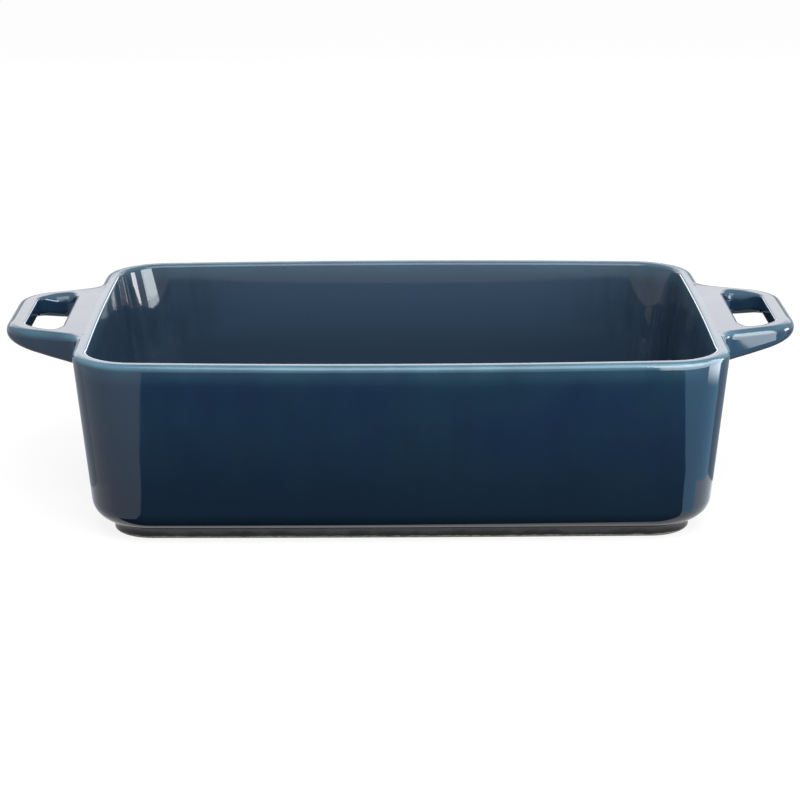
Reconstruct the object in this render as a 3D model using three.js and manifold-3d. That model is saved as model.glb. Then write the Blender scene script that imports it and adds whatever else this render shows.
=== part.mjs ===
// Rectangular glazed stoneware baking dish with a loop handle at each end, in millimetres.
// X runs along the dish, Y across it and Z up. The table is at Z = 0, and the origin lies
// on it under the middle of the dish.
import * as THREE from 'three';
import Module from 'manifold-3d';

const wasm = await Module();
wasm.setup();

// Body, measured outside. The walls lean from the base outline out to the rim outline.
const HEIGHT = 75;
const RIM_LENGTH = 265;
const RIM_WIDTH = 180;
const RIM_CORNER_RADIUS = 26;
const RIM_LONG_SIDE_BOW = 3.2;
const RIM_SHORT_SIDE_BOW = 0.8;
const BASE_LENGTH = 250.4;
const BASE_WIDTH = 171;
const BASE_CORNER_RADIUS = 25;
const BASE_LONG_SIDE_BOW = 0.5;
const BASE_SHORT_SIDE_BOW = 0.5;
const LOWER_EDGE_RADIUS = 8;

// Basin and rim. The wall thins to the rim over the taper, and the inside corners widen downward.
const WALL_THICKNESS = 8;
const RIM_THICKNESS = 6;
const RIM_TAPER = 30;
const FLOOR_THICKNESS = 6;
const BASIN_CORNER_RADIUS = 26;
const BASIN_EDGE_RADIUS = 12;
const RIM_INNER_RADIUS = 1.6;
const RIM_OUTER_RADIUS = 2.6;

// Foot ring, set back from where the rounding of the lower edge ends. A cove widens its top.
const FOOT_HEIGHT = 4.8;
const FOOT_SETBACK = 0.1;
const FOOT_WIDTH = 6;
const FOOT_EDGE_RADIUS = 0.8;
const FOOT_COVE_WIDTH = 1.6;
const FOOT_COVE_HEIGHT = 2.4;

// Handles. Lengths run outward from the middle of the short side at the rim.
const HANDLE_REACH = 31.8;
const HANDLE_ROOT_WIDTH = 84;
const HANDLE_END_WIDTH = 58;
const HANDLE_END_RADIUS = 19;
const HANDLE_FLARE_RADIUS = 8;
const HANDLE_ROOT_DEPTH = 13.4;
const HANDLE_END_DEPTH = 7;
const HANDLE_EDGE_RADIUS = 3.3;

// Finger hole. Its upper edge is crisp along the web and the end bar, and round along the arms.
const HANDLE_WEB = 7.5;
const HOLE_REACH = 16;
const HOLE_ROOT_WIDTH = 60;
const HOLE_END_WIDTH = 44;
const HOLE_ROOT_RADIUS = 4;
const HOLE_END_RADIUS = 6;
const HOLE_CRISP_RADIUS = 1.2;
const HOLE_ROUND_RADIUS = 4.5;
const HOLE_LOWER_RADIUS = 3.2;

// The slip joint between a handle and the wall, and the edge that the rim keeps along it.
const JOINT_GAP = 0.3;
const JOINT_EDGE_RADIUS = 0.3;

// Steps that the round stretches are cut into.
const SHORT_SIDE_STEPS = 8;
const CORNER_STEPS = 7;
const LONG_SIDE_STEPS = 4;
const EDGE_STEPS = 4;
const FILLET_STEPS = 5;
const TAPER_STEPS = 3;
const FOOT_EDGE_STEPS = 2;
const HANDLE_ARC_STEPS = 5;
const HANDLE_STRAIGHT_STEPS = 2;

// Most of a handle section's width or depth that one rounded edge may take.
const MOST_ROUNDING = 0.45;

const QUARTER_TURN = Math.PI / 2;
const { lerp, clamp, smoothstep } = THREE.MathUtils;

const GLAZE = { color: 0x17303f, roughness: 0.12, metalness: 0 };
const FOOT_GLAZE = { color: 0x1b2127, roughness: 0.35, metalness: 0 };

// Radius of an arc that rises by `bow` in the middle of a chord of twice `halfChord`.
function arcRadius(halfChord, bow) {
  return (halfChord ** 2 + bow ** 2) / (2 * bow);
}

// The upper of the two points at distance p from P and q from Q.
function meetingPoint(P, p, Q, q) {
  const span = Q.clone().sub(P);
  const gap = span.length();
  const along = (gap ** 2 + p ** 2 - q ** 2) / (2 * gap);
  const aside = Math.sqrt(p ** 2 - along ** 2);
  span.divideScalar(gap);
  const sideways = new THREE.Vector2(-span.y, span.x);
  sideways.multiplyScalar(sideways.y < 0 ? -aside : aside);
  return P.clone().addScaledVector(span, along).add(sideways);
}

// Points of an arc with their outward normals, from one angle to the other.
function arc(centre, radius, from, to, count) {
  return steps(count, (t) => {
    const angle = lerp(from, to, t);
    const normal = new THREE.Vector2(Math.cos(angle), Math.sin(angle));
    return { point: centre.clone().addScaledVector(normal, radius), normal };
  });
}

// A rectangle whose four sides are shallow arcs, tangent to its round corners.
function bowedRectangle(halfLength, halfWidth, corner, longBow, shortBow) {
  const longRadius = arcRadius(halfLength - corner, longBow);
  const shortRadius = arcRadius(halfWidth - corner, shortBow);
  const longCentre = new THREE.Vector2(0, halfWidth - longRadius);
  const shortCentre = new THREE.Vector2(halfLength - shortRadius, 0);
  const cornerCentre = meetingPoint(
    longCentre, longRadius - corner, shortCentre, shortRadius - corner);
  const shortEnd = cornerCentre.clone().sub(shortCentre).angle();
  const longStart = cornerCentre.clone().sub(longCentre).angle();
  const quarter = [
    ...arc(shortCentre, shortRadius, 0, shortEnd, SHORT_SIDE_STEPS).slice(0, -1),
    ...arc(cornerCentre, corner, shortEnd, longStart, CORNER_STEPS).slice(0, -1),
    ...arc(longCentre, longRadius, longStart, QUARTER_TURN, LONG_SIDE_STEPS),
  ];
  const flipped = (stations, x, y) => stations.map(({ point, normal }) => ({
    point: new THREE.Vector2(point.x * x, point.y * y),
    normal: new THREE.Vector2(normal.x * x, normal.y * y),
  }));
  const backwards = quarter.toReversed();
  return [
    ...quarter.slice(0, -1),
    ...flipped(backwards.slice(0, -1), -1, 1),
    ...flipped(quarter.slice(0, -1), -1, -1),
    ...flipped(backwards.slice(0, -1), 1, -1),
  ];
}

// Outside outline of the body at height z, before its edges are rounded.
function outlineAt(z) {
  const t = z / HEIGHT;
  return bowedRectangle(
    lerp(BASE_LENGTH, RIM_LENGTH, t) / 2,
    lerp(BASE_WIDTH, RIM_WIDTH, t) / 2,
    lerp(BASE_CORNER_RADIUS, RIM_CORNER_RADIUS, t),
    lerp(BASE_LONG_SIDE_BOW, RIM_LONG_SIDE_BOW, t),
    lerp(BASE_SHORT_SIDE_BOW, RIM_SHORT_SIDE_BOW, t));
}

// Thickness of the wall at height z.
function wallThicknessAt(z) {
  const below = clamp((HEIGHT - z) / RIM_TAPER, 0, 1);
  return lerp(RIM_THICKNESS, WALL_THICKNESS, Math.sin(below * QUARTER_TURN));
}

// Inside outline of the walls at height z, before the basin's edges are rounded.
function basinOutlineAt(z) {
  const t = z / HEIGHT;
  const thickness = wallThicknessAt(z);
  return bowedRectangle(
    lerp(BASE_LENGTH, RIM_LENGTH, t) / 2 - thickness,
    lerp(BASE_WIDTH, RIM_WIDTH, t) / 2 - thickness,
    lerp(BASIN_CORNER_RADIUS, RIM_CORNER_RADIUS - RIM_THICKNESS, t),
    lerp(BASE_LONG_SIDE_BOW, RIM_LONG_SIDE_BOW, t),
    lerp(BASE_SHORT_SIDE_BOW, RIM_SHORT_SIDE_BOW, t));
}

function insetPoint({ point, normal }, inset, z) {
  const place = point.clone().addScaledVector(normal, -inset);
  return new THREE.Vector3(place.x, place.y, z);
}

// One level ring of the body, moved in from the outside outline by `inset`.
function ring(z, inset) {
  return outlineAt(z).map((station) => insetPoint(station, inset, z));
}

// One level ring of the basin, moved in from the inside outline by `inset`.
function basinRing(z, inset) {
  return basinOutlineAt(z).map((station) => insetPoint(station, inset, z));
}

function steps(count, make) {
  return Array.from({ length: count + 1 }, (_, i) => make(i / count));
}

// Skin over a row of closed rings. Where the row doesn't join up, flat fans close its ends.
function loft(rings, joinsUp) {
  const size = rings[0].length;
  const points = rings.flat();
  const triangles = [];
  const spans = joinsUp ? rings.length : rings.length - 1;
  for (let i = 0; i < spans; i += 1) {
    const here = i * size;
    const next = ((i + 1) % rings.length) * size;
    for (let j = 0; j < size; j += 1) {
      const k = (j + 1) % size;
      triangles.push(here + j, next + j, next + k);
      triangles.push(here + j, next + k, here + k);
    }
  }
  if (!joinsUp) {
    const last = (rings.length - 1) * size;
    const first = points.push(middleOf(rings[0])) - 1;
    const end = points.push(middleOf(rings.at(-1))) - 1;
    for (let j = 0; j < size; j += 1) {
      const k = (j + 1) % size;
      triangles.push(first, j, k);
      triangles.push(end, last + k, last + j);
    }
  }
  return new THREE.BufferGeometry().setFromPoints(points).setIndex(triangles);
}

function middleOf(points) {
  const sum = points.reduce((total, point) => total.add(point), new THREE.Vector3());
  return sum.divideScalar(points.length);
}

function toManifold(geometry) {
  return new wasm.Manifold(new wasm.Mesh({
    numProp: 3,
    vertProperties: new Float32Array(geometry.attributes.position.array),
    triVerts: new Uint32Array(geometry.index.array),
  }));
}

function toGeometry(solid) {
  const { vertProperties, triVerts } = solid.getMesh();
  const geometry = new THREE.BufferGeometry();
  geometry.setAttribute('position', new THREE.BufferAttribute(vertProperties, 3));
  return geometry.setIndex(new THREE.BufferAttribute(triVerts, 1));
}

// The rim's outer edge is rounded, and turns crisp where a handle carries its top on.
function rimOuterRadius(y) {
  const root = HANDLE_ROOT_WIDTH / 2;
  const away = smoothstep(Math.abs(y), root, root + HANDLE_FLARE_RADIUS);
  return lerp(JOINT_EDGE_RADIUS, RIM_OUTER_RADIUS, away);
}

function rimOuterRing(turn) {
  return outlineAt(HEIGHT).map(({ point }, i) => {
    const radius = rimOuterRadius(point.y);
    const z = HEIGHT - radius * (1 - Math.sin(turn));
    return insetPoint(outlineAt(z)[i], radius * (1 - Math.cos(turn)), z);
  });
}

// Floor, walls and rim in one skin: up the basin, over the rim and down the outside.
function dishBody() {
  const basinFloor = FOOT_HEIGHT + FLOOR_THICKNESS;
  const basinEdge = steps(FILLET_STEPS, (t) => {
    const turn = t * QUARTER_TURN;
    const inset = BASIN_EDGE_RADIUS * (1 - Math.sin(turn));
    return basinRing(basinFloor + BASIN_EDGE_RADIUS * (1 - Math.cos(turn)), inset);
  });
  const taper = steps(TAPER_STEPS, (t) => basinRing(HEIGHT - lerp(RIM_TAPER, RIM_INNER_RADIUS, t), 0));
  const rimInner = steps(EDGE_STEPS, (t) => {
    const turn = t * QUARTER_TURN;
    const inset = -RIM_INNER_RADIUS * (1 - Math.cos(turn));
    return basinRing(HEIGHT - RIM_INNER_RADIUS * (1 - Math.sin(turn)), inset);
  });
  const rimOuter = steps(EDGE_STEPS, (t) => rimOuterRing((1 - t) * QUARTER_TURN));
  const lowerEdge = steps(FILLET_STEPS, (t) => {
    const turn = (1 - t) * QUARTER_TURN;
    const inset = LOWER_EDGE_RADIUS * (1 - Math.sin(turn));
    return ring(FOOT_HEIGHT + LOWER_EDGE_RADIUS * (1 - Math.cos(turn)), inset);
  });
  return loft([...basinEdge, ...taper.slice(0, -1), ...rimInner, ...rimOuter, ...lowerEdge], false);
}

// A low ring with rounded lower edges and a cove round its outside. Its flat top lies against
// the flat underside.
function footRing() {
  const outside = LOWER_EDGE_RADIUS + FOOT_SETBACK;
  const inside = outside + FOOT_WIDTH;
  const base = outlineAt(FOOT_HEIGHT);
  const level = (z, inset) => base.map((station) => insetPoint(station, inset, z));
  const cove = (t) => {
    const turn = t * QUARTER_TURN;
    const outward = FOOT_COVE_WIDTH * (1 - Math.sin(turn));
    return level(FOOT_HEIGHT - FOOT_COVE_HEIGHT * (1 - Math.cos(turn)), outside - outward);
  };
  const edge = (wall, side) => (t) => {
    const turn = t * QUARTER_TURN;
    const inward = FOOT_EDGE_RADIUS * (1 - Math.cos(turn));
    return level(FOOT_EDGE_RADIUS * (1 - Math.sin(turn)), wall + side * inward);
  };
  return loft([
    level(FOOT_HEIGHT, inside),
    ...steps(EDGE_STEPS, cove),
    ...steps(FOOT_EDGE_STEPS, edge(outside, 1)),
    ...steps(FOOT_EDGE_STEPS, edge(inside, -1)).toReversed(),
  ], true);
}

// Arc of the given radius that rounds the corner between two straight stretches. Its normals
// point away from its centre, or towards it where `side` is -1.
function roundCorner(before, corner, after, radius, side) {
  const inward = before.clone().sub(corner).normalize();
  const onward = after.clone().sub(corner).normalize();
  const half = Math.acos(clamp(inward.dot(onward), -1, 1)) / 2;
  const bisector = inward.clone().add(onward).normalize();
  const centre = corner.clone().addScaledVector(bisector, radius / Math.sin(half));
  const start = corner.clone().addScaledVector(inward, radius / Math.tan(half)).sub(centre);
  const end = corner.clone().addScaledVector(onward, radius / Math.tan(half)).sub(centre);
  let sweep = end.angle() - start.angle();
  sweep -= 2 * Math.PI * Math.round(sweep / (2 * Math.PI));
  const pivot = new THREE.Vector2();
  return steps(HANDLE_ARC_STEPS, (t) => {
    const spoke = start.clone().rotateAround(pivot, t * sweep);
    return { point: spoke.clone().add(centre), normal: spoke.normalize().multiplyScalar(side) };
  });
}

function stretch(from, to) {
  return steps(HANDLE_STRAIGHT_STEPS, (t) => ({
    point: from.point.clone().lerp(to.point, t),
    normal: from.normal.clone().lerp(to.normal, t),
  })).slice(1);
}

// A station that faces outward along the dish, or back towards it where `side` is -1.
function facing(x, y, side) {
  return { point: new THREE.Vector2(x, y), normal: new THREE.Vector2(side, 0) };
}

// Half of the finger hole's outline, from the middle of its end round to the middle of its root.
function holeHalf() {
  const endMiddle = facing(HANDLE_WEB + HOLE_REACH, 0, 1);
  const endCorner = new THREE.Vector2(HANDLE_WEB + HOLE_REACH, HOLE_END_WIDTH / 2);
  const rootCorner = new THREE.Vector2(HANDLE_WEB, HOLE_ROOT_WIDTH / 2);
  const rootMiddle = facing(HANDLE_WEB, 0, -1);
  const end = roundCorner(endMiddle.point, endCorner, rootCorner, HOLE_END_RADIUS, 1);
  const root = roundCorner(endCorner, rootCorner, rootMiddle.point, HOLE_ROOT_RADIUS, 1);
  return [
    endMiddle, ...stretch(endMiddle, end[0]), ...end.slice(1),
    ...stretch(end.at(-1), root[0]), ...root.slice(1),
    ...stretch(root.at(-1), rootMiddle),
  ];
}

// The same half of the handle's outside. Its root starts inside the wall, which trims it.
function outerHalf() {
  const wall = -RIM_SHORT_SIDE_BOW;
  const buriedDepth = RIM_THICKNESS + 2 * HANDLE_EDGE_RADIUS;
  const endMiddle = facing(HANDLE_REACH, 0, 1);
  const endCorner = new THREE.Vector2(HANDLE_REACH, HANDLE_END_WIDTH / 2);
  const rootCorner = new THREE.Vector2(wall, HANDLE_ROOT_WIDTH / 2);
  const alongWall = rootCorner.clone().add(new THREE.Vector2(0, 1));
  const end = roundCorner(endMiddle.point, endCorner, rootCorner, HANDLE_END_RADIUS, 1);
  const flare = roundCorner(endCorner, rootCorner, alongWall, HANDLE_FLARE_RADIUS, -1);
  const buried = facing(-buriedDepth, flare.at(-1).point.y, -1);
  return [
    endMiddle, ...stretch(endMiddle, end[0]), ...end.slice(1),
    ...stretch(end.at(-1), flare[0]), ...flare.slice(1),
    buried, ...stretch(buried, facing(-buriedDepth, 0, -1)).slice(1),
  ];
}

// Radius of the finger hole's upper edge, at a distance x from the wall.
function holeEdgeRadius(x) {
  const end = HANDLE_WEB + HOLE_REACH;
  const fromWeb = smoothstep(x, HANDLE_WEB, HANDLE_WEB + HOLE_ROOT_RADIUS);
  const fromEnd = 1 - smoothstep(x, end - HOLE_END_RADIUS, end);
  return lerp(HOLE_CRISP_RADIUS, HOLE_ROUND_RADIUS, fromWeb * fromEnd);
}

// Upright rounded section of the handle, from its finger hole to its outside.
function handleSection(hole, outer) {
  const depth = ({ point }) => {
    const t = clamp(point.x / HANDLE_REACH, 0, 1);
    return lerp(HANDLE_ROOT_DEPTH, HANDLE_END_DEPTH, t);
  };
  const width = hole.point.distanceTo(outer.point);
  const most = MOST_ROUNDING * Math.min(width, depth(outer));
  const outerRadius = Math.min(HANDLE_EDGE_RADIUS, most);
  const upperRadius = Math.min(holeEdgeRadius(hole.point.x), most);
  const lowerRadius = Math.min(HOLE_LOWER_RADIUS, most);
  const corners = [
    { at: outer, side: 1, z: HEIGHT - outerRadius, radius: outerRadius },
    { at: hole, side: -1, z: HEIGHT - upperRadius, radius: upperRadius },
    { at: hole, side: -1, z: HEIGHT - depth(hole) + lowerRadius, radius: lowerRadius },
    { at: outer, side: 1, z: HEIGHT - depth(outer) + outerRadius, radius: outerRadius },
  ];
  return corners.flatMap(({ at, side, z, radius }, i) => steps(EDGE_STEPS, (t) => {
    const turn = (i + t) * QUARTER_TURN;
    const place = at.point.clone().addScaledVector(at.normal, radius * (Math.cos(turn) - side));
    return new THREE.Vector3(place.x, place.y, z + radius * Math.sin(turn));
  }));
}

// Loop handle swept round its finger hole and cut to the wall it is luted to.
function loopHandle() {
  const outer = outerHalf();
  const half = holeHalf().map((hole, i) => handleSection(hole, outer[i]));
  const mirrored = half.slice(1, -1).toReversed().map(
    (section) => section.map(({ x, y, z }) => new THREE.Vector3(x, -y, z)));
  const loop = loft([...half, ...mirrored], true);
  loop.translate(RIM_LENGTH / 2, 0, 0);
  return toGeometry(toManifold(loop).subtract(toManifold(bodyEnvelope())));
}

// The filled outside of the body with the slip joint round it, from the lower edge to above the rim.
function bodyEnvelope() {
  const levels = [HEIGHT + RIM_OUTER_RADIUS, HEIGHT - RIM_OUTER_RADIUS, FOOT_HEIGHT + LOWER_EDGE_RADIUS];
  return loft(levels.map((z) => ring(z, -JOINT_GAP)), false);
}

function piece(name, geometry, finish) {
  geometry.computeVertexNormals();
  const mesh = new THREE.Mesh(geometry, new THREE.MeshStandardMaterial(finish));
  mesh.name = name;
  return mesh;
}

const dish = new THREE.Group();
dish.add(piece('dish_body', dishBody(), GLAZE));
dish.add(piece('foot_ring', footRing(), FOOT_GLAZE));
dish.add(piece('handle_right', loopHandle(), GLAZE));
const handleLeft = piece('handle_left', loopHandle(), GLAZE);
handleLeft.rotation.z = Math.PI;
dish.add(handleLeft);

export default dish;
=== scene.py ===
import math

import bpy
import numpy as np
from mathutils import Matrix, Vector

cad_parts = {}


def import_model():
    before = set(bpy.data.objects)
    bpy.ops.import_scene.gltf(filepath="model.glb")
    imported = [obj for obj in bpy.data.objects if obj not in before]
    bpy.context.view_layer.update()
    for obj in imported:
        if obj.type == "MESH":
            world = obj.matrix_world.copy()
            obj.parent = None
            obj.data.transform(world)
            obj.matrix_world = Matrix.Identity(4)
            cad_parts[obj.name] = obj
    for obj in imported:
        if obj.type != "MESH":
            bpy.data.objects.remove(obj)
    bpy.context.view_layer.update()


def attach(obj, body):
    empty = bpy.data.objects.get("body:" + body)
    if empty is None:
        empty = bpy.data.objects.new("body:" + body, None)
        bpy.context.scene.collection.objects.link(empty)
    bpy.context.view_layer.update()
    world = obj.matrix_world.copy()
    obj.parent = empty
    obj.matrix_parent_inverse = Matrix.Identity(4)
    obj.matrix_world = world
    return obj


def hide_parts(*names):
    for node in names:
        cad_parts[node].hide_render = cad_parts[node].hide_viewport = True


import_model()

# Body, measured outside. The walls lean from the base outline out to the rim outline.
HEIGHT = 0.075
RIM_LENGTH = 0.265
RIM_WIDTH = 0.180
RIM_CORNER_RADIUS = 0.026
RIM_LONG_SIDE_BOW = 0.0032
RIM_SHORT_SIDE_BOW = 0.0008
BASE_LENGTH = 0.2504
BASE_WIDTH = 0.171
BASE_CORNER_RADIUS = 0.025
BASE_LONG_SIDE_BOW = 0.0005
BASE_SHORT_SIDE_BOW = 0.0005
LOWER_EDGE_RADIUS = 0.008

# Basin and rim. The wall thins to the rim over the taper, and the inside corners widen downward.
WALL_THICKNESS = 0.008
RIM_THICKNESS = 0.006
RIM_TAPER = 0.030
FLOOR_THICKNESS = 0.006
BASIN_CORNER_RADIUS = 0.026
BASIN_EDGE_RADIUS = 0.012
RIM_INNER_RADIUS = 0.0016
RIM_OUTER_RADIUS = 0.0026

# Foot ring, set back from where the rounding of the lower edge ends. A cove widens its top.
FOOT_HEIGHT = 0.0048
FOOT_SETBACK = 0.0001
FOOT_WIDTH = 0.006
FOOT_EDGE_RADIUS = 0.0008
FOOT_COVE_WIDTH = 0.0016
FOOT_COVE_HEIGHT = 0.0024

# Handles. Lengths run outward from the middle of the short side at the rim.
HANDLE_REACH = 0.0318
HANDLE_ROOT_WIDTH = 0.084
HANDLE_END_WIDTH = 0.058
HANDLE_END_RADIUS = 0.019
HANDLE_FLARE_RADIUS = 0.008
HANDLE_ROOT_DEPTH = 0.0134
HANDLE_END_DEPTH = 0.007
HANDLE_EDGE_RADIUS = 0.0033

# Finger hole. Its upper edge is crisp along the web and the end bar, and round along the arms.
HANDLE_WEB = 0.0075
HOLE_REACH = 0.016
HOLE_ROOT_WIDTH = 0.060
HOLE_END_WIDTH = 0.044
HOLE_ROOT_RADIUS = 0.004
HOLE_END_RADIUS = 0.006
HOLE_CRISP_RADIUS = 0.0012
HOLE_ROUND_RADIUS = 0.0045
HOLE_LOWER_RADIUS = 0.0032
HOLE_EASE_REACH = 0.0096

# A handle's top runs on to where the rim is flat. There its edge is this small, and its faces
# lean with the wall up to this far out. A flare's top starts this far under the handle's top.
JOINT_EDGE_RADIUS = 0.00003
LEAN_REACH = 0.012
FLARE_SINK = 0.00001

# How thin the glaze is on the rounded edges, with a painted highlight laid on them too, from 0 on the
# walls to 1 where it breaks and shines most, and how far below the rim's roundings it still thins.
RIM_OUTER_THIN = 1.0
RIM_INNER_THIN = 0.5
BELOW_RIM_THIN = 0.22
BELOW_RIM_REACH = 0.007
HANDLE_EDGE_THIN = 0.45
HOLE_EDGE_THIN = 0.30

# Steps that the round and the straight stretches are cut into.
SHORT_SIDE_STEPS = 30
CORNER_STEPS = 18
LONG_SIDE_STEPS = 16
EDGE_STEPS = 8
FILLET_STEPS = 12
WALL_STEPS = 20
RIM_FLAT_STEPS = 4
HANDLE_ARC_STEPS = 14
HANDLE_STRAIGHT_STEPS = 10
HANDLE_FACE_STEPS = 6

# Most of a handle section's width or depth that one rounded edge may take, and the share of an arm's
# outside that lies abreast of the straight side of the finger hole.
MOST_ROUNDING = 0.45
ABREAST_SHARE = 0.2

# Faces that meet at more than this are shown with a sharp edge.
SHARP_ANGLE = math.radians(50)

# The photograph's view: an 800 pixel square whose middle looks at VIEW_TARGET.
VIEW_TARGET = Vector((-0.00024, 0.0, 0.0345))
VIEW_DISTANCE = 1.03555
VIEW_ELEVATION = math.radians(16.8)
VIEW_YAW = math.radians(0.296)
VIEW_ROLL = math.radians(-0.175)
SENSOR_WIDTH = 36.0
CLIP_START = 0.01
LENS = 108.655

QUARTER_TURN = math.pi / 2


def lerp(a, b, t):
    return a + (b - a) * t


def smoothstep(x, low, high):
    t = np.clip((x - low) / (high - low), 0.0, 1.0)
    return t * t * (3 - 2 * t)


# Outlines of the body


def arc_radius(half_chord, bow):
    """Radius of an arc that rises by bow in the middle of a chord of twice half_chord."""
    return (half_chord ** 2 + bow ** 2) / (2 * bow)


def meeting_point(p_centre, p, q_centre, q):
    """The upper of the two points at distance p from one centre and q from the other."""
    span = q_centre - p_centre
    gap = np.linalg.norm(span)
    along = (gap ** 2 + p ** 2 - q ** 2) / (2 * gap)
    aside = math.sqrt(p ** 2 - along ** 2)
    span = span / gap
    sideways = np.array((-span[1], span[0]))
    return p_centre + span * along + sideways * math.copysign(aside, sideways[1])


def arc(centre, radius, start, end, count):
    """Points of an arc and their outward normals, one row each: x, y, normal x, normal y."""
    angles = np.linspace(start, end, count + 1)
    normals = np.column_stack((np.cos(angles), np.sin(angles)))
    return np.hstack((centre + radius * normals, normals))


def bowed_rectangle(half_length, half_width, corner, long_bow, short_bow):
    """A rectangle whose four sides are shallow arcs, tangent to its round corners."""
    long_radius = arc_radius(half_length - corner, long_bow)
    short_radius = arc_radius(half_width - corner, short_bow)
    long_centre = np.array((0.0, half_width - long_radius))
    short_centre = np.array((half_length - short_radius, 0.0))
    corner_centre = meeting_point(
        long_centre, long_radius - corner, short_centre, short_radius - corner)
    short_end = math.atan2(*(corner_centre - short_centre)[::-1])
    long_start = math.atan2(*(corner_centre - long_centre)[::-1])
    quarter = np.vstack((
        arc(short_centre, short_radius, 0.0, short_end, SHORT_SIDE_STEPS)[:-1],
        arc(corner_centre, corner, short_end, long_start, CORNER_STEPS)[:-1],
        arc(long_centre, long_radius, long_start, QUARTER_TURN, LONG_SIDE_STEPS),
    ))
    backwards = quarter[::-1]
    return np.vstack((
        quarter[:-1],
        backwards[:-1] * (-1, 1, -1, 1),
        quarter[:-1] * (-1, -1, -1, -1),
        backwards[:-1] * (1, -1, 1, -1),
    ))


def outline_at(z):
    """Outside outline of the body at height z, before its edges are rounded."""
    t = z / HEIGHT
    return bowed_rectangle(
        lerp(BASE_LENGTH, RIM_LENGTH, t) / 2,
        lerp(BASE_WIDTH, RIM_WIDTH, t) / 2,
        lerp(BASE_CORNER_RADIUS, RIM_CORNER_RADIUS, t),
        lerp(BASE_LONG_SIDE_BOW, RIM_LONG_SIDE_BOW, t),
        lerp(BASE_SHORT_SIDE_BOW, RIM_SHORT_SIDE_BOW, t))


def wall_thickness_at(z):
    below = min((HEIGHT - z) / RIM_TAPER, 1.0)
    return lerp(RIM_THICKNESS, WALL_THICKNESS, math.sin(below * QUARTER_TURN))


def basin_outline_at(z):
    """Inside outline of the walls at height z, before the basin's edges are rounded."""
    t = z / HEIGHT
    thickness = wall_thickness_at(z)
    return bowed_rectangle(
        lerp(BASE_LENGTH, RIM_LENGTH, t) / 2 - thickness,
        lerp(BASE_WIDTH, RIM_WIDTH, t) / 2 - thickness,
        lerp(BASIN_CORNER_RADIUS, RIM_CORNER_RADIUS - RIM_THICKNESS, t),
        lerp(BASE_LONG_SIDE_BOW, RIM_LONG_SIDE_BOW, t),
        lerp(BASE_SHORT_SIDE_BOW, RIM_SHORT_SIDE_BOW, t))


# Skins


def level_ring(outline, inset, z, thin=0.0, basin=0.0):
    """Points of an outline moved in by inset at height z, with how thin the glaze is and how strong its
    painted highlight, and the basin's share."""
    places = outline[:, :2] - outline[:, 2:] * inset
    same_all_round = np.tile((z, thin, basin), (len(outline), 1))
    return np.hstack((places, same_all_round))


def edge_thinness(turn):
    """Glaze runs off a rounded edge, and a painted highlight lies on it: both are strongest half way
    round it.
    """
    return math.sin(2 * turn)


def thinness_below_rim(drop):
    return BELOW_RIM_THIN * (1 - smoothstep(drop, 0.0, BELOW_RIM_REACH))


def turns(count):
    return np.linspace(0.0, QUARTER_TURN, count + 1)


def eased(count):
    """Steps from 0 to 1 that lie closest at both ends, so that a flat face stays flat to its edges."""
    return (1 - np.cos(np.linspace(0.0, math.pi, count + 1))) / 2


def loft_faces(count, size, joins_up, first):
    """Faces over a row of closed rings, with flat ends if it doesn't join up. Their points start at
    number first."""
    faces = []
    for i in range(count if joins_up else count - 1):
        here = first + i * size
        following = first + (i + 1) % count * size
        for j in range(size):
            k = (j + 1) % size
            faces.append((here + j, following + j, following + k, here + k))
    if not joins_up:
        last = first + (count - 1) * size
        faces.append(tuple(range(first, first + size)))
        faces.append(tuple(range(last + size - 1, last - 1, -1)))
    return faces


def skin(name, lofts, material):
    """A smooth piece of the dish from lofts, each a row of closed rings and whether it joins up."""
    points = np.empty((0, 5))
    faces = []
    for rings, joins_up in lofts:
        faces += loft_faces(len(rings), len(rings[0]), joins_up, len(points))
        points = np.vstack((points, *rings))
    mesh = bpy.data.meshes.new(name)
    mesh.from_pydata(points[:, :3].tolist(), [], faces)
    for column, attribute in ((3, "thinness_and_sheen"), (4, "basin")):
        values = mesh.attributes.new(attribute, 'FLOAT', 'POINT')
        values.data.foreach_set("value", points[:, column])
    mesh.shade_smooth()
    mesh.set_sharp_from_angle(angle=SHARP_ANGLE)
    mesh.materials.append(material)
    piece = bpy.data.objects.new(name, mesh)
    bpy.context.scene.collection.objects.link(piece)
    return piece


def basin_rings():
    """Rings from the basin's floor up its walls to the rim's flat top."""
    floor = FOOT_HEIGHT + FLOOR_THICKNESS
    rings = []
    for turn in turns(FILLET_STEPS):
        z = floor + BASIN_EDGE_RADIUS * (1 - math.cos(turn))
        inset = BASIN_EDGE_RADIUS * (1 - math.sin(turn))
        rings.append(level_ring(basin_outline_at(z), inset, z, 0.0, 1.0))
    top = HEIGHT - RIM_INNER_RADIUS
    for t in eased(WALL_STEPS)[1:-1]:
        z = lerp(floor + BASIN_EDGE_RADIUS, top, t)
        rings.append(level_ring(basin_outline_at(z), 0.0, z, thinness_below_rim(top - z), 1.0))
    for turn in turns(EDGE_STEPS):
        z = HEIGHT - RIM_INNER_RADIUS * (1 - math.sin(turn))
        inset = -RIM_INNER_RADIUS * (1 - math.cos(turn))
        thin = max(RIM_INNER_THIN * edge_thinness(turn), BELOW_RIM_THIN)
        rings.append(level_ring(basin_outline_at(z), inset, z, thin, math.cos(turn)))
    return rings


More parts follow.
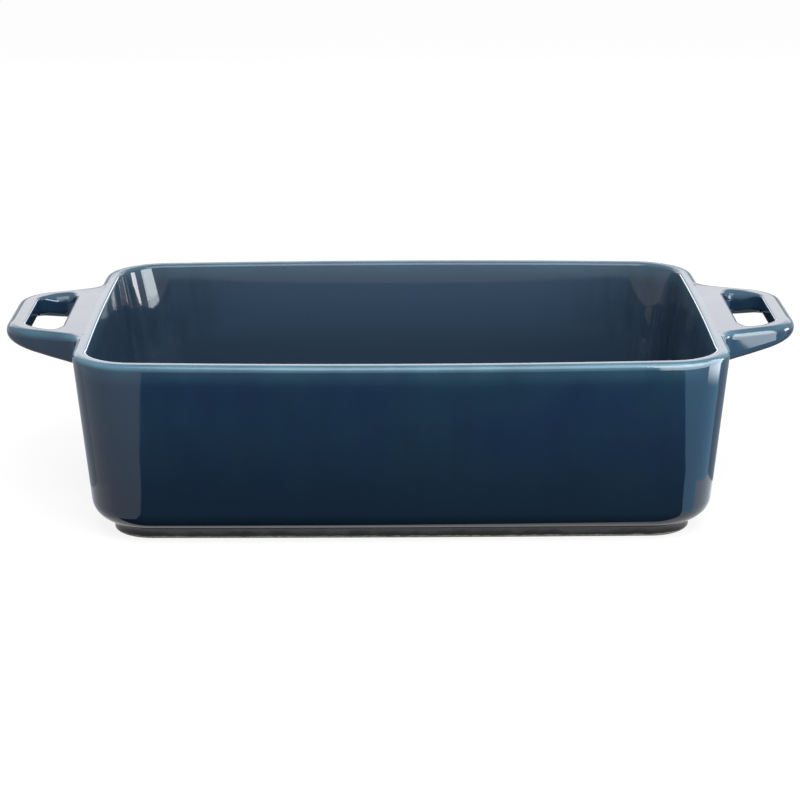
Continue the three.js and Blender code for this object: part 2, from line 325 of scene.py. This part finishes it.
def outside_rings():
    """Rings from the rim's flat top down the outside to the flat underside."""
    rings = []
    for turn in turns(EDGE_STEPS)[::-1]:
        z = HEIGHT - RIM_OUTER_RADIUS * (1 - math.sin(turn))
        inset = RIM_OUTER_RADIUS * (1 - math.cos(turn))
        thin = max(RIM_OUTER_THIN * edge_thinness(turn), BELOW_RIM_THIN)
        rings.append(level_ring(outline_at(z), inset, z, thin))
    top = HEIGHT - RIM_OUTER_RADIUS
    for t in eased(WALL_STEPS)[1:-1]:
        z = lerp(top, FOOT_HEIGHT + LOWER_EDGE_RADIUS, t)
        rings.append(level_ring(outline_at(z), 0.0, z, thinness_below_rim(top - z)))
    for turn in turns(FILLET_STEPS)[::-1]:
        z = FOOT_HEIGHT + LOWER_EDGE_RADIUS * (1 - math.cos(turn))
        rings.append(level_ring(outline_at(z), LOWER_EDGE_RADIUS * (1 - math.sin(turn)), z))
    return rings


def glazed_body(material):
    """Floor, walls and rim in one skin: up the basin, over the rim and down the outside."""
    inside = basin_rings()
    outside = outside_rings()
    flat = [lerp(inside[-1], outside[0], t) for t in eased(RIM_FLAT_STEPS)[1:-1]]
    return skin("glazed_body", [(inside + flat + outside, False)], material)


def foot(material):
    """A low ring with rounded lower edges and a cove round its outside, under the flat underside."""
    outside = LOWER_EDGE_RADIUS + FOOT_SETBACK
    inside = outside + FOOT_WIDTH
    base = outline_at(FOOT_HEIGHT)
    rings = [level_ring(base, inside, FOOT_HEIGHT)]
    for turn in turns(EDGE_STEPS):
        z = FOOT_HEIGHT - FOOT_COVE_HEIGHT * (1 - math.cos(turn))
        rings.append(level_ring(base, outside - FOOT_COVE_WIDTH * (1 - math.sin(turn)), z))
    edge = [(FOOT_EDGE_RADIUS * (1 - math.cos(turn)), FOOT_EDGE_RADIUS * (1 - math.sin(turn)))
            for turn in turns(EDGE_STEPS)]
    rings += [level_ring(base, outside + inward, z) for inward, z in edge]
    rings += [level_ring(base, inside - inward, z) for inward, z in reversed(edge)]
    return skin("foot", [(rings, True)], material)


# Handles


def round_corner(before, corner, after, radius, side):
    """Arc that rounds the corner between two straight stretches, as rows of place and normal. The
    normals point away from its centre, or towards it where side is -1."""
    inward = (before - corner) / np.linalg.norm(before - corner)
    onward = (after - corner) / np.linalg.norm(after - corner)
    half = math.acos(inward @ onward) / 2
    bisector = (inward + onward) / np.linalg.norm(inward + onward)
    centre = corner + bisector * radius / math.sin(half)
    start = corner + inward * radius / math.tan(half) - centre
    end = corner + onward * radius / math.tan(half) - centre
    first = math.atan2(start[1], start[0])
    sweep = math.remainder(math.atan2(end[1], end[0]) - first, 2 * math.pi)
    return arc(centre, radius, first, first + sweep, HANDLE_ARC_STEPS) * (1, 1, side, side)


def stretch(start, end, count=HANDLE_STRAIGHT_STEPS):
    return np.linspace(start, end, count + 1)[1:]


def wall_line(y):
    """How far the rim's bowed short side lies outside its middle point at y."""
    radius = arc_radius(RIM_WIDTH / 2 - RIM_CORNER_RADIUS, RIM_SHORT_SIDE_BOW)
    return np.sqrt(radius ** 2 - np.square(y)) - radius


def hole_half():
    """Half of the finger hole's outline, from the middle of its end round to the middle of its root."""
    end_middle = np.array((HANDLE_WEB + HOLE_REACH, 0.0, 1.0, 0.0))
    end_corner = np.array((HANDLE_WEB + HOLE_REACH, HOLE_END_WIDTH / 2))
    root_corner = np.array((HANDLE_WEB, HOLE_ROOT_WIDTH / 2))
    root_middle = np.array((HANDLE_WEB, 0.0, -1.0, 0.0))
    end = round_corner(end_middle[:2], end_corner, root_corner, HOLE_END_RADIUS, 1)
    root = round_corner(end_corner, root_corner, root_middle[:2], HOLE_ROOT_RADIUS, 1)
    return np.vstack((
        end_middle, stretch(end_middle, end[0]), end[1:],
        stretch(end[-1], root[0]), root[1:],
        stretch(root[-1], root_middle)))


def outer_corners():
    """The handle's outside before it is rounded: its end's corner and the corner that its arm makes
    with the wall."""
    wall = wall_line(HANDLE_ROOT_WIDTH / 2 + HANDLE_FLARE_RADIUS)
    return np.array((HANDLE_REACH, HANDLE_END_WIDTH / 2)), np.array((wall, HANDLE_ROOT_WIDTH / 2))


def outer_half():
    """The same half of the handle's outside. Its arm runs on until its top meets the rim's flat top."""
    end_corner, root_corner = outer_corners()
    end_middle = np.array((HANDLE_REACH, 0.0, 1.0, 0.0))
    end = round_corner(end_middle[:2], end_corner, root_corner, HANDLE_END_RADIUS, 1)
    in_wall = RIM_OUTER_RADIUS + JOINT_EDGE_RADIUS
    onward = (root_corner - end_corner) / (end_corner - root_corner)[0]
    normal = end[-1, 2:]
    arm_end = np.hstack((root_corner + onward * (in_wall - RIM_OUTER_RADIUS * normal[0]), normal))
    along = stretch(arm_end[1], 0.0)
    rim_flat = wall_line(along) - in_wall
    root = np.column_stack((rim_flat, along, np.full(len(along), -1.0), np.zeros(len(along))))
    abreast = lerp(end[-1], arm_end, ABREAST_SHARE)
    return np.vstack((
        end_middle, stretch(end_middle, end[0]), end[1:],
        stretch(end[-1], abreast), stretch(abreast, arm_end, HANDLE_ARC_STEPS), root))


def flare_sections():
    """Sections that fan out from inside the handle's root to the flare between its arm and the wall."""
    end_corner, root_corner = outer_corners()
    flare = round_corner(end_corner, root_corner, root_corner + (0.0, 1.0), HANDLE_FLARE_RADIUS, -1)
    inside = root_corner - (RIM_OUTER_RADIUS + JOINT_EDGE_RADIUS, 2 * HANDLE_EDGE_RADIUS)
    outward = (root_corner - inside) / np.linalg.norm(root_corner - inside)
    pivot = np.hstack((inside, outward))
    sections = np.array([handle_section(pivot, station, False) for station in flare])
    from_flare = np.linalg.norm(sections[:, :, :2] - flare[:, None, :2], axis=2)
    past_edge = np.maximum(from_flare - HANDLE_EDGE_RADIUS, 0)
    sections[:, :, 2] -= FLARE_SINK * past_edge / HANDLE_EDGE_RADIUS
    return list(sections)


def hole_edge_radius(x):
    """Radius of the finger hole's upper edge, at a distance x from the wall."""
    end = HANDLE_WEB + HOLE_REACH
    from_web = smoothstep(x, HANDLE_WEB, HANDLE_WEB + HOLE_ROOT_RADIUS)
    from_end = 1 - smoothstep(x, end - HOLE_EASE_REACH, end)
    return lerp(HOLE_CRISP_RADIUS, HOLE_ROUND_RADIUS, from_web * from_end)


def handle_depth(x):
    return lerp(HANDLE_ROOT_DEPTH, HANDLE_END_DEPTH, np.clip(x / HANDLE_REACH, 0.0, 1.0))


def clear_of_wall(outer):
    """From 0 at the wall to 1 where the handle's outside is clear of it."""
    return np.clip((outer[0] - wall_line(outer[1])) / HANDLE_FLARE_RADIUS, 0.0, 1.0)


def handle_section(hole, outer, in_wall):
    """Upright rounded section of the handle, from its finger hole to its outside, whose edges take on
    the rim's rounding as they run into it."""
    width = np.linalg.norm(outer[:2] - hole[:2])
    most = MOST_ROUNDING * min(width, handle_depth(outer[0]))
    clear = clear_of_wall(outer)
    edge_radius = JOINT_EDGE_RADIUS if in_wall else lerp(RIM_OUTER_RADIUS, HANDLE_EDGE_RADIUS, clear)
    edge_thin = 0.0 if in_wall else lerp(RIM_OUTER_THIN, HANDLE_EDGE_THIN, clear)
    outer_radius = min(edge_radius, most)
    upper_radius = min(hole_edge_radius(hole[0]), most)
    lower_radius = min(HOLE_LOWER_RADIUS, most)
    hole_bottom = HEIGHT - handle_depth(hole[0])
    outer_bottom = HEIGHT - handle_depth(outer[0])
    corners = (
        (outer, 1, HEIGHT - outer_radius, outer_radius, edge_thin),
        (hole, -1, HEIGHT - upper_radius, upper_radius, HOLE_EDGE_THIN),
        (hole, -1, hole_bottom + lower_radius, lower_radius, 0.0),
        (outer, 1, outer_bottom + outer_radius, outer_radius, 0.0),
    )
    rows = []
    for i, (station, side, z, radius, thin) in enumerate(corners):
        for turn in turns(EDGE_STEPS):
            angle = i * QUARTER_TURN + turn
            place = station[:2] + station[2:] * radius * (math.cos(angle) - side)
            rows.append((*place, z + radius * math.sin(angle), thin * edge_thinness(turn), 0.0))
    rows = with_face_steps(np.array(rows))
    lean = (RIM_LENGTH - BASE_LENGTH) / 2 / HEIGHT
    near_wall = 1 - smoothstep(rows[:, 0], 0.0, LEAN_REACH)
    rows[:, 0] -= near_wall * lean * (HEIGHT - rows[:, 2])
    return rows


def with_face_steps(rows):
    """Add steps across the flat faces between a section's four rounded corners."""
    corner = EDGE_STEPS + 1
    result = []
    for i in range(4):
        result.extend(rows[i * corner:(i + 1) * corner])
        start = rows[(i + 1) * corner - 1]
        end = rows[(i + 1) * corner % len(rows)]
        result.extend(lerp(start, end, t) for t in eased(HANDLE_FACE_STEPS)[1:-1])
    return np.array(result)


def mirrored(sections):
    return [section * (1, -1, 1, 1, 1) for section in reversed(sections)]


def glazed_handle(name, side, material):
    """Loop handle swept round its finger hole, with a flare at each arm; side is 1 for the right end
    and -1 for the left."""
    outers = outer_half()
    first_in_wall = len(outers) - HANDLE_STRAIGHT_STEPS
    half = [handle_section(hole, outer, i >= first_in_wall)
            for i, (hole, outer) in enumerate(zip(hole_half(), outers))]
    flare = flare_sections()
    lofts = ((half + mirrored(half[1:-1]), True), (flare, False), (mirrored(flare), False))
    at_end = (RIM_LENGTH / 2, 0, 0, 0, 0)
    turned = (side, side, 1, 1, 1)
    placed = [([(section + at_end) * turned for section in sections], joins_up)
              for sections, joins_up in lofts]
    return skin(name, placed, material)


# Materials


class Nodes:
    """A material's node tree, with short ways to add and join its nodes."""

    def __init__(self, name):
        self.material = bpy.data.materials.new(name)
        self.material.use_nodes = True
        self.tree = self.material.node_tree
        self.shader = self.tree.nodes["Principled BSDF"]
        self.place = self.add("ShaderNodeTexCoord").outputs["Object"]

    def add(self, kind, **settings):
        node = self.tree.nodes.new(kind)
        for key, value in settings.items():
            setattr(node, key, value)
        return node

    def put(self, value, socket):
        """Join an output to an input socket, or set the socket's own value."""
        if isinstance(value, bpy.types.NodeSocket):
            self.tree.links.new(value, socket)
        else:
            socket.default_value = value

    def noise(self, scale, detail=2.0, roughness=0.5, stretch_z=1.0):
        """Noise in the dish's own coordinates, stretched up and down by stretch_z."""
        mapping = self.add("ShaderNodeMapping")
        self.put(self.place, mapping.inputs["Vector"])
        mapping.inputs["Scale"].default_value = (1.0, 1.0, 1.0 / stretch_z)
        node = self.add("ShaderNodeTexNoise")
        self.put(mapping.outputs["Vector"], node.inputs["Vector"])
        self.put(scale, node.inputs["Scale"])
        self.put(detail, node.inputs["Detail"])
        self.put(roughness, node.inputs["Roughness"])
        return node.outputs["Fac"]

    def remap(self, value, from_low, from_high, to_low=0.0, to_high=1.0, smooth=True):
        node = self.add("ShaderNodeMapRange",
                        interpolation_type='SMOOTHSTEP' if smooth else 'LINEAR')
        self.put(value, node.inputs["Value"])
        self.put(from_low, node.inputs["From Min"])
        self.put(from_high, node.inputs["From Max"])
        self.put(to_low, node.inputs["To Min"])
        self.put(to_high, node.inputs["To Max"])
        return node.outputs["Result"]

    def math(self, operation, a, b):
        node = self.add("ShaderNodeMath", operation=operation)
        self.put(a, node.inputs[0])
        self.put(b, node.inputs[1])
        return node.outputs["Value"]

    def mix(self, share, a, b):
        node = self.add("ShaderNodeMix", data_type='RGBA')
        self.put(share, node.inputs["Factor"])
        self.put(a, node.inputs[6])
        self.put(b, node.inputs[7])
        return node.outputs[2]

    def attribute(self, name):
        return self.add("ShaderNodeAttribute", attribute_name=name).outputs["Fac"]

    def axis(self, name):
        node = self.add("ShaderNodeSeparateXYZ")
        self.put(self.place, node.inputs["Vector"])
        return node.outputs[name]

    def bump(self, height, strength, distance, below=None):
        node = self.add("ShaderNodeBump")
        self.put(height, node.inputs["Height"])
        self.put(strength, node.inputs["Strength"])
        self.put(distance, node.inputs["Distance"])
        if below is not None:
            self.put(below, node.inputs["Normal"])
        return node.outputs["Normal"]


GLAZE_NAVY = (0.0145, 0.0385, 0.0890, 1)
GLAZE_TEAL = (0.0165, 0.0470, 0.0880, 1)
# A paler copy of the glaze for the basin's inside: painted light.
GLAZE_BASIN_LIT = (0.0370, 0.0690, 0.1170, 1)
# The colour of the basin's painted shade.
GLAZE_SHADE_INSIDE = (0.0160, 0.0300, 0.0500, 1)
# The colour of the streaks, and of the painted shade low down outside.
GLAZE_STREAK_AND_SHADE = (0.0088, 0.0195, 0.0360, 1)
# Paler glaze where it broke on edges, and a painted highlight there too.
GLAZE_BROKEN_AND_SHEEN = (0.1050, 0.2550, 0.3450, 1)
GLAZE_SPECK = (0.0040, 0.0080, 0.0120, 1)

# Heights between which painted shade darkens the glaze, outside and in the basin, and the distances from
# the dish's middle at which painted shade towards the basin's ends starts and is full.
OUTSIDE_SHADE_LOW = 0.005
OUTSIDE_SHADE_HIGH = 0.070
BASIN_SHADE_LOW = 0.034
BASIN_SHADE_HIGH = 0.053
END_SHADE_START = 0.0548
END_SHADE_FULL = 0.1183

# Most of the darker colour that each of these brings, the glaze's roughness and its index of refraction.
OUTSIDE_SHADE_SHARE = 0.80
BASIN_SHADE_SHARE = 0.42
END_SHADE_SHARE = 0.75
STREAK_SHARE = 0.15
GLAZE_SMOOTHEST = 0.035
GLAZE_ROUGHEST = 0.075
GLAZE_IOR = 1.5


def glaze_material():
    """Deep teal-blue gloss glaze, darker low down outside, deep in the basin and towards its ends as
    painted shade, paler inside the basin as painted light, and paler on edges where it broke and where a
    painted highlight lies."""
    n = Nodes("glaze")
    cloud = n.remap(n.noise(28, 3), 0.35, 0.65)
    colour = n.mix(cloud, GLAZE_NAVY, GLAZE_TEAL)
    streak = n.remap(n.noise(130, 3, 0.6, 5), 0.3, 0.7)
    colour = n.mix(n.math('MULTIPLY', streak, STREAK_SHARE), colour, GLAZE_STREAK_AND_SHADE)
    # Painted shade: the glaze darkens towards the bottom.
    low_shade = n.remap(n.axis("Z"), OUTSIDE_SHADE_LOW, OUTSIDE_SHADE_HIGH, OUTSIDE_SHADE_SHARE, 0.0)
    colour = n.mix(low_shade, colour, GLAZE_STREAK_AND_SHADE)
    # Painted shade in the basin: darker towards its ends, where the streaks break it up, and deeper
    # down.
    middle_squared = n.math('MULTIPLY', n.axis("X"), n.axis("X"))
    ends = n.remap(middle_squared, END_SHADE_START ** 2, END_SHADE_FULL ** 2, 0.0, END_SHADE_SHARE)
    runs = n.math('MULTIPLY', ends, n.remap(streak, 0.0, 1.0, 0.5, 1.0))
    depth_shade = n.remap(n.axis("Z"), BASIN_SHADE_LOW, BASIN_SHADE_HIGH, BASIN_SHADE_SHARE, 0.0)
    dark_inside = n.math('MAXIMUM', runs, depth_shade)
    # Painted light: the basin's inside takes a paler copy of the glaze.
    inside = n.mix(dark_inside, GLAZE_BASIN_LIT, GLAZE_SHADE_INSIDE)
    colour = n.mix(n.attribute("basin"), colour, inside)
    uneven = n.remap(n.noise(55, 3), 0.25, 0.75, 0.65, 1.0)
    # Paler edges: partly glaze that broke, partly a painted highlight.
    broken_and_sheen = n.math('MULTIPLY', n.attribute("thinness_and_sheen"), uneven)
    colour = n.mix(broken_and_sheen, colour, GLAZE_BROKEN_AND_SHEEN)
    speck = n.remap(n.noise(1400, 1), 0.80, 0.84)
    n.put(n.mix(speck, colour, GLAZE_SPECK), n.shader.inputs["Base Color"])
    roughness = n.remap(n.noise(90, 4), 0.3, 0.7, GLAZE_SMOOTHEST, GLAZE_ROUGHEST)
    n.put(roughness, n.shader.inputs["Roughness"])
    wave = n.bump(n.noise(35, 2), 0.20, 0.00030)
    peel = n.bump(n.noise(420, 2), 0.08, 0.00006, wave)
    n.put(peel, n.shader.inputs["Normal"])
    n.shader.inputs["IOR"].default_value = GLAZE_IOR
    return n.material


FOOT_GLAZE = (0.1100, 0.1130, 0.1180, 1)
FOOT_GLAZE_SHADED = (0.0110, 0.0130, 0.0160, 1)
BARE_CLAY = (0.4700, 0.4400, 0.3600, 1)
BARE_CLAY_DARK = (0.3000, 0.2750, 0.2200, 1)

# Heights on the foot between which its glaze gets darker towards the floor, as painted shade, and
# between which it is wiped off, and how far these two lines wander up and down.
FOOT_DARK_LOW = 0.0014
FOOT_DARK_HIGH = 0.0038
FOOT_WIPED_LOW = 0.0008
FOOT_WIPED_HIGH = 0.0011
DARK_WANDER = 0.0006
WIPED_WANDER = 0.0003
FOOT_GLAZE_ROUGHNESS = 0.28
CLAY_ROUGHNESS = 0.85
FOOT_SPECULAR = 0.3


def foot_material():
    """Grey dry glaze on the foot's sides, darker low down as painted shade, and wiped off to bare cream
    clay below.
    """
    n = Nodes("foot_clay")
    uneven = n.remap(n.noise(120, 4), 0.35, 0.65, -DARK_WANDER, DARK_WANDER, False)
    # Painted shade: the foot's glaze darkens towards the floor.
    low = n.remap(n.math('ADD', n.axis("Z"), uneven), FOOT_DARK_LOW, FOOT_DARK_HIGH, 1.0, 0.0)
    glaze = n.mix(low, FOOT_GLAZE, FOOT_GLAZE_SHADED)
    clay = n.mix(n.remap(n.noise(700, 4), 0.35, 0.7), BARE_CLAY, BARE_CLAY_DARK)
    ragged = n.remap(n.noise(260, 3), 0.2, 0.8, -WIPED_WANDER, WIPED_WANDER, False)
    wiped = n.remap(n.math('ADD', n.axis("Z"), ragged), FOOT_WIPED_LOW, FOOT_WIPED_HIGH, 1.0, 0.0)
    n.put(n.mix(wiped, glaze, clay), n.shader.inputs["Base Color"])
    roughness = n.remap(wiped, 0.0, 1.0, FOOT_GLAZE_ROUGHNESS, CLAY_ROUGHNESS, False)
    n.put(roughness, n.shader.inputs["Roughness"])
    n.put(n.bump(n.noise(1500, 4), 0.25, 0.0001), n.shader.inputs["Normal"])
    n.shader.inputs["Specular IOR Level"].default_value = FOOT_SPECULAR
    return n.material


FLOOR_WHITE = (0.20, 0.20, 0.20, 1)
FLOOR_GLOW = 0.84
WHITE = (1, 1, 1, 1)


def floor_material():
    """A pale floor that looks lit from below to the camera and in the glaze, and keeps its shadow."""
    n = Nodes("studio_floor")
    n.put(n.remap(n.noise(300, 3), 0.3, 0.7, 0.6, 0.75), n.shader.inputs["Roughness"])
    n.shader.inputs["Base Color"].default_value = FLOOR_WHITE
    n.shader.inputs["Specular IOR Level"].default_value = 0.0
    n.shader.inputs["Emission Color"].default_value = WHITE
    path = n.add("ShaderNodeLightPath")
    seen = n.math('ADD', path.outputs["Is Camera Ray"], path.outputs["Is Glossy Ray"])
    seen = n.math('ADD', seen, path.outputs["Is Transmission Ray"])
    n.put(n.math('MULTIPLY', seen, FLOOR_GLOW), n.shader.inputs["Emission Strength"])
    return n.material


def card_nodes(name, glow):
    """Nodes of a card that shows only its glow."""
    n = Nodes(name)
    n.shader.inputs["Base Color"].default_value = CARD_BLACK
    n.shader.inputs["Specular IOR Level"].default_value = 0.0
    n.shader.inputs["Roughness"].default_value = 1.0
    n.shader.inputs["Emission Color"].default_value = glow
    n.shader.inputs["Emission Strength"].default_value = 1.0
    return n


def fading_card_material():
    """A bright card that fades to the blue card's colour towards its lower edge."""
    n = card_nodes("card_fading", CARD_SKY)
    bright = n.remap(n.axis("Z"), FADING_CARD_LOW, FADING_CARD_FULL)
    n.put(n.mix(bright, CARD_BLUE, CARD_SKY), n.shader.inputs["Emission Color"])
    return n.material


# Studio


def flat_stage(name, corners, material):
    mesh = bpy.data.meshes.new(name)
    mesh.from_pydata(corners, [], [tuple(range(len(corners)))])
    mesh.materials.append(material)
    item = bpy.data.objects.new(name, mesh)
    bpy.context.scene.collection.objects.link(item)
    return item


FLOOR_HALF_SIZE = 3.0

# Cards lie round the dish, where only the gloss of its walls sees them. One stands at a corner.
CARD_BLACK = (0.004, 0.004, 0.005, 1)
CARD_BLUE = (0.60, 1.18, 1.70, 1)
CARD_GREY = (0.66, 0.70, 0.78, 1)
CARD_DIM_RIGHT = (0.34, 0.42, 0.50, 1)
CARD_DIM_LEFT = (0.46, 0.50, 0.56, 1)
CARD_SKY = (7.4, 8.3, 9.2, 1)
CARD_PALE_RIGHT = (1.20, 1.32, 1.45, 1)
CARD_PALE_LEFT = (0.76, 0.78, 0.84, 1)

# Edges that two cards share, as places on the floor.
LEFT_PANEL_EDGE = (
    (-0.123, -0.0815), (-0.112, -0.092), (-0.1165, -0.124), (-0.122, -0.1665), (-0.130, -0.205),
    (-0.148, -0.285), (-0.200, -0.50))
RIGHT_PANEL_EDGE = (
    (0.132, -0.0935), (0.1697, -0.1208), (0.1883, -0.152), (0.202, -0.1906), (0.2097, -0.2365),
    (0.220, -0.50))
LEFT_PALE_EDGE = ((-0.140, -0.0815), (-0.163, -0.092), (-0.171, -0.088), (-0.170, -0.052))
RIGHT_PALE_EDGE = (
    (0.130, -0.080), (0.155, -0.081), (0.172, -0.084), (0.172, -0.059), (0.175, -0.043))

# Single corners: where the pale and the dim cards meet at the ends of the dish, and the outermost ones.
LEFT_END = (-0.1345, -0.0066)
RIGHT_END = (0.1345, -0.0066)
LEFT_FRONT = (-0.75, -0.50)
RIGHT_FRONT = (0.75, -0.50)
LEFT_SIDE = (-0.75, 0.21)
RIGHT_SIDE = (0.75, 0.21)
LEFT_BACK = (-0.75, 0.40)
RIGHT_BACK = (0.75, 0.40)
LEFT_OF_BACK_CARD = (-0.16, 0.40)
RIGHT_OF_BACK_CARD = (0.16, 0.40)

BLACK_CARD_CORNERS = LEFT_PANEL_EDGE + RIGHT_PANEL_EDGE[::-1] + ((0.118, -0.085),)
BLUE_CARD_CORNERS = RIGHT_PANEL_EDGE + (RIGHT_FRONT, RIGHT_SIDE) + RIGHT_PALE_EDGE[::-1]
GREY_CARD_CORNERS = LEFT_PANEL_EDGE[::-1] + LEFT_PALE_EDGE + (LEFT_SIDE, LEFT_FRONT)
RIGHT_DIM_CORNERS = (RIGHT_PALE_EDGE[-1], RIGHT_SIDE, RIGHT_BACK, RIGHT_OF_BACK_CARD, RIGHT_END)
LEFT_DIM_CORNERS = (LEFT_PALE_EDGE[-1], LEFT_END, LEFT_OF_BACK_CARD, LEFT_BACK, LEFT_SIDE)
RIGHT_PALE_CORNERS = RIGHT_PALE_EDGE + (RIGHT_END,)
LEFT_PALE_CORNERS = (LEFT_PANEL_EDGE[0], LEFT_END) + LEFT_PALE_EDGE[::-1]
BACK_CARD_CORNERS = ((-0.1404, 0.088), (0.1404, 0.088), RIGHT_OF_BACK_CARD, LEFT_OF_BACK_CARD)
FLOOR_CARDS = (
    ("black_card", CARD_BLACK, BLACK_CARD_CORNERS),
    ("back_card", CARD_BLACK, BACK_CARD_CORNERS),
    ("blue_card", CARD_BLUE, BLUE_CARD_CORNERS),
    ("grey_card", CARD_GREY, GREY_CARD_CORNERS),
    ("right_dim_card", CARD_DIM_RIGHT, RIGHT_DIM_CORNERS),
    ("left_dim_card", CARD_DIM_LEFT, LEFT_DIM_CORNERS),
    ("right_pale_card", CARD_PALE_RIGHT, RIGHT_PALE_CORNERS),
    ("left_pale_card", CARD_PALE_LEFT, LEFT_PALE_CORNERS),
)
CARD_LIFT = 0.0005
FADING_CARD_X = 0.15
FADING_CARD_NEAR = -0.086
FADING_CARD_FAR = -0.066
FADING_CARD_LOW = 0.052
FADING_CARD_FULL = 0.062
FADING_CARD_TOP = 0.10


def gloss_card(name, corners, material):
    """A card that only gloss sees."""
    card = flat_stage(name, corners, material)
    card.visible_camera = False
    card.visible_diffuse = False
    card.visible_shadow = False
    card.visible_transmission = False


def standing_corners():
    """Corners of the upright card that fades."""
    near, far = FADING_CARD_NEAR, FADING_CARD_FAR
    low, top = FADING_CARD_LOW, FADING_CARD_TOP
    return [(FADING_CARD_X, y, z) for y, z in ((near, low), (far, low), (far, top), (near, top))]


def floor_and_cards():
    s = FLOOR_HALF_SIZE
    flat_stage("studio_floor", ((-s, -s, 0), (s, -s, 0), (s, s, 0), (-s, s, 0)), floor_material())
    for name, glow, corners in FLOOR_CARDS:
        on_floor = [(x, y, CARD_LIFT) for x, y in corners]
        gloss_card(name, on_floor, card_nodes(name, glow).material)
    gloss_card("fading_card", standing_corners(), fading_card_material())


def lamp(name, place, aim, size, radiance, colour=(1, 1, 1), gloss_only=False):
    """A soft rectangular lamp at a place, facing another, with the given brightness of its face."""
    width, height = size
    light = bpy.data.lights.new(name, 'AREA')
    light.shape = 'RECTANGLE'
    light.size = width
    light.size_y = height
    light.energy = radiance * width * height * math.pi
    light.color = colour
    item = bpy.data.objects.new(name, light)
    item.location = place
    item.rotation_euler = (Vector(aim) - Vector(place)).to_track_quat('-Z', 'Y').to_euler()
    item.visible_camera = False
    item.visible_diffuse = not gloss_only
    bpy.context.scene.collection.objects.link(item)


DISH_MIDDLE = (0.0, 0.0, 0.05)
BACK_LAMPS_Y = 1.2
CORNER_LAMPS_XY = (0.215, -0.165)
CORNER_AIM_XY = (0.12, -0.07)
COOL = (0.90, 0.96, 1.0)
LILAC = (0.98, 0.96, 1.0)


def back_lamp(name, height, size, radiance, colour, gloss_only):
    """A lamp behind the dish that faces forward."""
    lamp(name, (0.0, BACK_LAMPS_Y, height), (0.0, 0.0, height), size, radiance, colour, gloss_only)


def corner_lamp(name, height, size, radiance):
    """A lamp close to the dish's front right corner, which only gloss sees."""
    place = (*CORNER_LAMPS_XY, height)
    aim = (*CORNER_AIM_XY, height)
    lamp(name, place, aim, size, radiance, COOL, True)


def lamps():
    back_lamp("back_panel", 0.487, (2.2, 0.27), 1.75, LILAC, False)
    back_lamp("back_strip", 0.19, (0.56, 0.15), 3.5, COOL, True)
    back_lamp("back_upper", 0.85, (2.2, 0.45), 1.3, LILAC, True)
    lamp("overhead_softbox", (0.20, -0.50, 0.90), DISH_MIDDLE, (0.95, 0.80), 3.4)
    lamp("right_softbox", (0.60, -0.50, 0.30), DISH_MIDDLE, (0.40, 0.40), 2.0, COOL)
    corner_lamp("front_right_softbox", 0.19, (0.22, 0.17), 10.0)
    corner_lamp("front_right_lower", 0.066, (0.22, 0.076), 6.0)
    lamp("right_window", (0.70, 0.13, 0.14), (0.0, 0.13, 0.14), (0.19, 0.16), 12.5, LILAC, True)


WORLD_WHITE = (1.0, 1.0, 1.0, 1)
WORLD_FILL = 0.65


def world():
    """Even white fill light."""
    scene_world = bpy.data.worlds.new("studio_world")
    scene_world.use_nodes = True
    background = scene_world.node_tree.nodes["Background"]
    background.inputs["Color"].default_value = WORLD_WHITE
    background.inputs["Strength"].default_value = WORLD_FILL
    bpy.context.scene.world = scene_world


def camera():
    lens = bpy.data.cameras.new("photo_camera")
    lens.sensor_width = SENSOR_WIDTH
    lens.lens = LENS
    lens.clip_start = CLIP_START
    item = bpy.data.objects.new("photo_camera", lens)
    forward = Vector((
        math.sin(VIEW_YAW) * math.cos(VIEW_ELEVATION),
        math.cos(VIEW_YAW) * math.cos(VIEW_ELEVATION),
        -math.sin(VIEW_ELEVATION)))
    place = Matrix.Translation(VIEW_TARGET - forward * VIEW_DISTANCE)
    aim = forward.to_track_quat('-Z', 'Y').to_matrix().to_4x4()
    item.matrix_world = place @ aim @ Matrix.Rotation(VIEW_ROLL, 4, 'Z')
    bpy.context.scene.collection.objects.link(item)
    bpy.context.scene.camera = item


def dish():
    glaze = glaze_material()
    pieces = (
        (glazed_body(glaze), "dish_body", "glaze"),
        (glazed_handle("glazed_handle_right", 1, glaze), "handle_right", "glaze"),
        (glazed_handle("glazed_handle_left", -1, glaze), "handle_left", "glaze"),
        (foot(foot_material()), "foot_ring", "foot_clay"),
    )
    for piece, node, slot in pieces:
        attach(piece, "root")
        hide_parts(node)


camera()
world()
lamps()
floor_and_cards()
dish()
bpy.context.scene.view_settings.view_transform = 'Standard'
